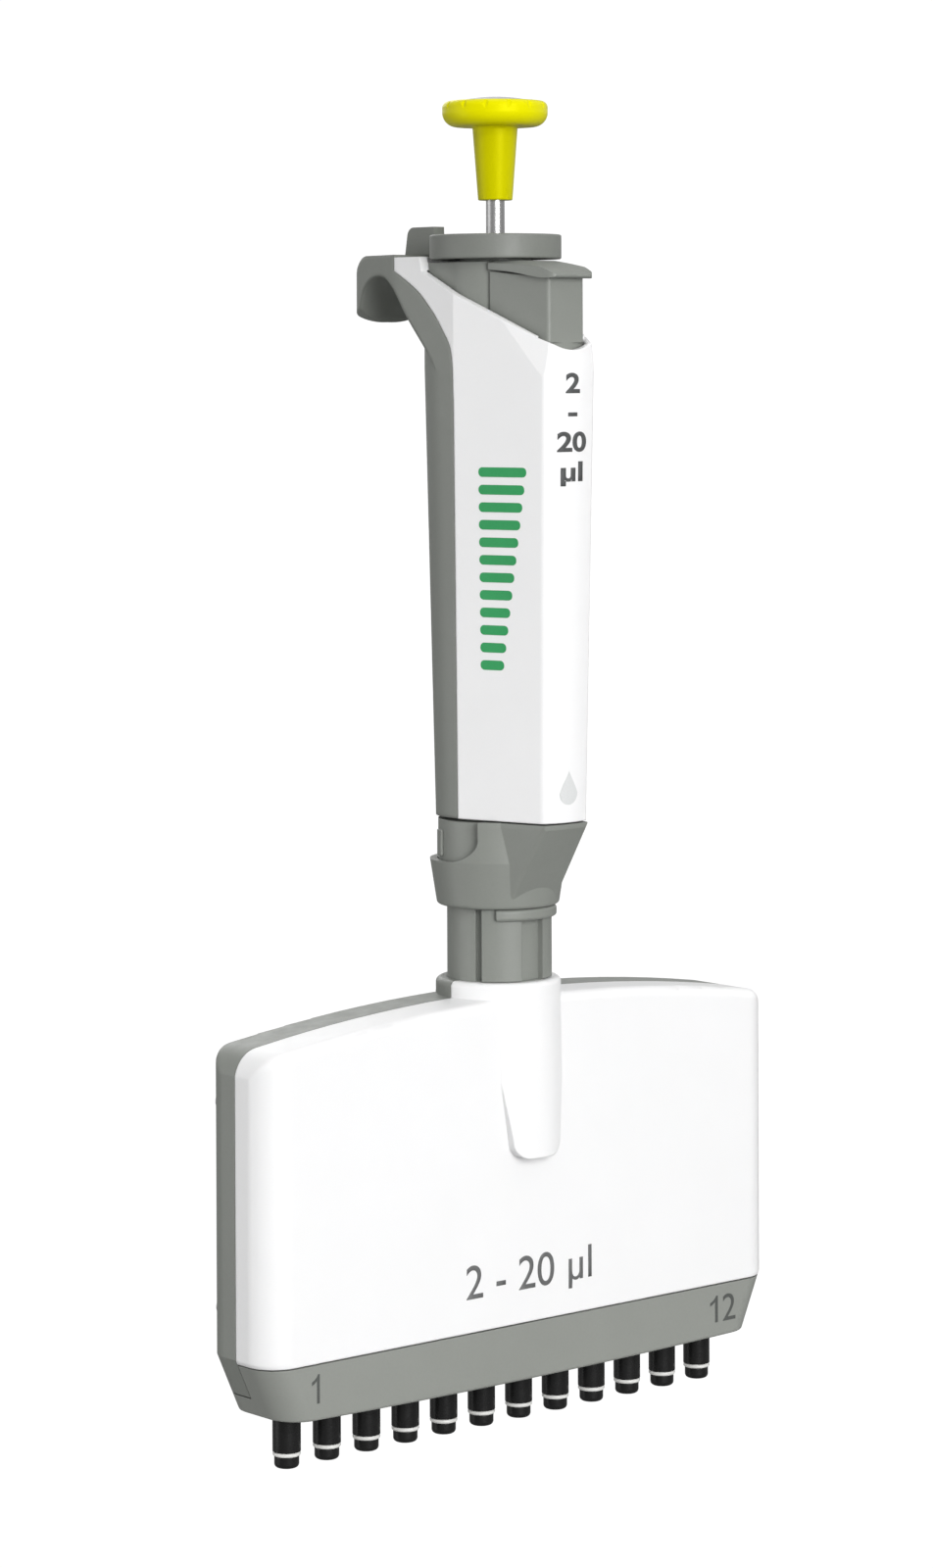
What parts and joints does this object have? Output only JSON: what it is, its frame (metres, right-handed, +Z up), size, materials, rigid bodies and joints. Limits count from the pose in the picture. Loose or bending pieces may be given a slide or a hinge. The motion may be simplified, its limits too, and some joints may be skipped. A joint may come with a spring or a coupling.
{
  "type": "multichannel pipette",
  "caption": "hand-held multichannel pipette with swivelling wide head, push-button plunger, finger hook, tip ejector and a row of tip nozzles",
  "frame": {"origin": "middle of the nozzle row in the plane of the nozzle ends", "axes": "+Z up along the handle and plunger, X along the nozzle row with channel 1 at -X, -Y to the front label side, +Y to the finger hook"},
  "size_m": [0.1212, 0.0535, 0.2412],
  "materials": {
    "white_plastic": "satin moulded",
    "grey_plastic": "fine matt moulded",
    "black_plastic": "satin",
    "pale_rubber": "smooth",
    "dark_rubber": "smooth",
    "yellow_plastic": "semi gloss",
    "insert_plastic": "satin",
    "steel": "polished",
    "screw_steel": "turned",
    "aluminium": "machined",
    "natural_plastic": "natural acetal",
    "brass": "turned",
    "drum_plastic": "matt with dark digits",
    "window_glass": "clear"
  },
  "bodies": {
    "handle": {"handle_shell": "white_plastic", "back_cover_hook": "grey_plastic", "handle_collar": "grey_plastic", "swivel_bush": "grey_plastic", "top_cap": "grey_plastic", "rod_guide_bush": "brass", "core_housing": "grey_plastic", "frame_bridge": "aluminium", "frame_screws": "screw_steel", "spring_barrel": "aluminium", "counter_window": "window_glass", "ejector_guide": "natural_plastic", "main_spring": "steel", "blowout_spring": "steel", "blowout_washer": "natural_plastic", "ejector_spring": "steel"},
    "volume_drive": {"volume_sleeve": "brass", "tenths_drum": "drum_plastic"},
    "units_counter": {"units_drum": "drum_plastic"},
    "tens_counter": {"tens_drum": "drum_plastic"},
    "volume_stop": {"stop_ring": "brass"},
    "plunger": {"push_knob": "yellow_plastic", "knob_insert": "insert_plastic", "plunger_rod": "steel", "thrust_collar": "natural_plastic"},
    "ejector_push": {"ejector_button": "grey_plastic", "ejector_push_rod": "steel", "ejector_foot": "natural_plastic"},
    "head": {"head_front_cover": "white_plastic", "head_back_cover": "grey_plastic", "cover_screws": "screw_steel", "cylinder_block": "aluminium", "nozzles": "black_plastic", "nozzle_orings": "pale_rubber", "piston_seals": "dark_rubber", "seal_retainer_plate": "aluminium", "guide_rods": "steel", "neck_sleeve": "grey_plastic", "neck_retaining_ring": "steel"},
    "piston_set": {"piston_carrier": "aluminium", "piston_clamp_plate": "aluminium", "pistons": "steel", "drive_rod": "steel", "carrier_screws": "screw_steel"},
    "tip_ejector": {"ejector_bar": "grey_plastic", "ejector_frame": "black_plastic", "ejector_bar_screws": "screw_steel", "ejector_tube": "natural_plastic"}
  },
  "joints": [
    {"name": "volume_turn", "type": "hinge", "parent": "handle", "child": "volume_drive", "pos_m": [0, 0, 0.185], "axis": [0, 0, 1], "range_deg": [-6480, 0]},
    {"name": "units_turn", "type": "hinge", "parent": "handle", "child": "units_counter", "pos_m": [0, 0, 0.1845], "axis": [0, 0, 1], "range_deg": [-650, 0]},
    {"name": "tens_turn", "type": "hinge", "parent": "handle", "child": "tens_counter", "pos_m": [0, 0, 0.191], "axis": [0, 0, 1], "range_deg": [-65, 0]},
    {"name": "stop_turn", "type": "hinge", "parent": "handle", "child": "volume_stop", "pos_m": [0, 0, 0.171], "axis": [0, 0, 1], "range_deg": [-325, 0]},
    {"name": "plunger_press", "type": "slide", "parent": "volume_drive", "child": "plunger", "axis": [0, 0, -1], "range_m": [0, 0.012], "stiffness_N_per_m": 400, "springref_m": -0.005, "deforming": ["main_spring"]},
    {"name": "ejector_press", "type": "slide", "parent": "handle", "child": "ejector_push", "axis": [0, 0, -1], "range_m": [0, 0.0055], "stiffness_N_per_m": 500, "springref_m": -0.004, "deforming": ["ejector_spring"]},
    {"name": "head_swivel", "type": "hinge", "parent": "handle", "child": "head", "pos_m": [0, 0, 0.1], "axis": [0, 0, 1], "continuous": true},
    {"name": "piston_slide", "type": "slide", "parent": "head", "child": "piston_set", "axis": [0, 0, -1], "range_m": [0, 0.012]},
    {"name": "tip_eject_slide", "type": "slide", "parent": "head", "child": "tip_ejector", "axis": [0, 0, -1], "range_m": [0, 0.0055]}
  ],
  "couplings": [
    {"joint": "units_turn", "follows": "volume_turn", "ratio": 0.1},
    {"joint": "tens_turn", "follows": "volume_turn", "ratio": 0.01},
    {"joint": "stop_turn", "follows": "volume_turn", "ratio": 0.05},
    {"joint": "piston_slide", "follows": "plunger_press", "ratio": 1},
    {"joint": "tip_eject_slide", "follows": "ejector_press", "ratio": 1}
  ]
}
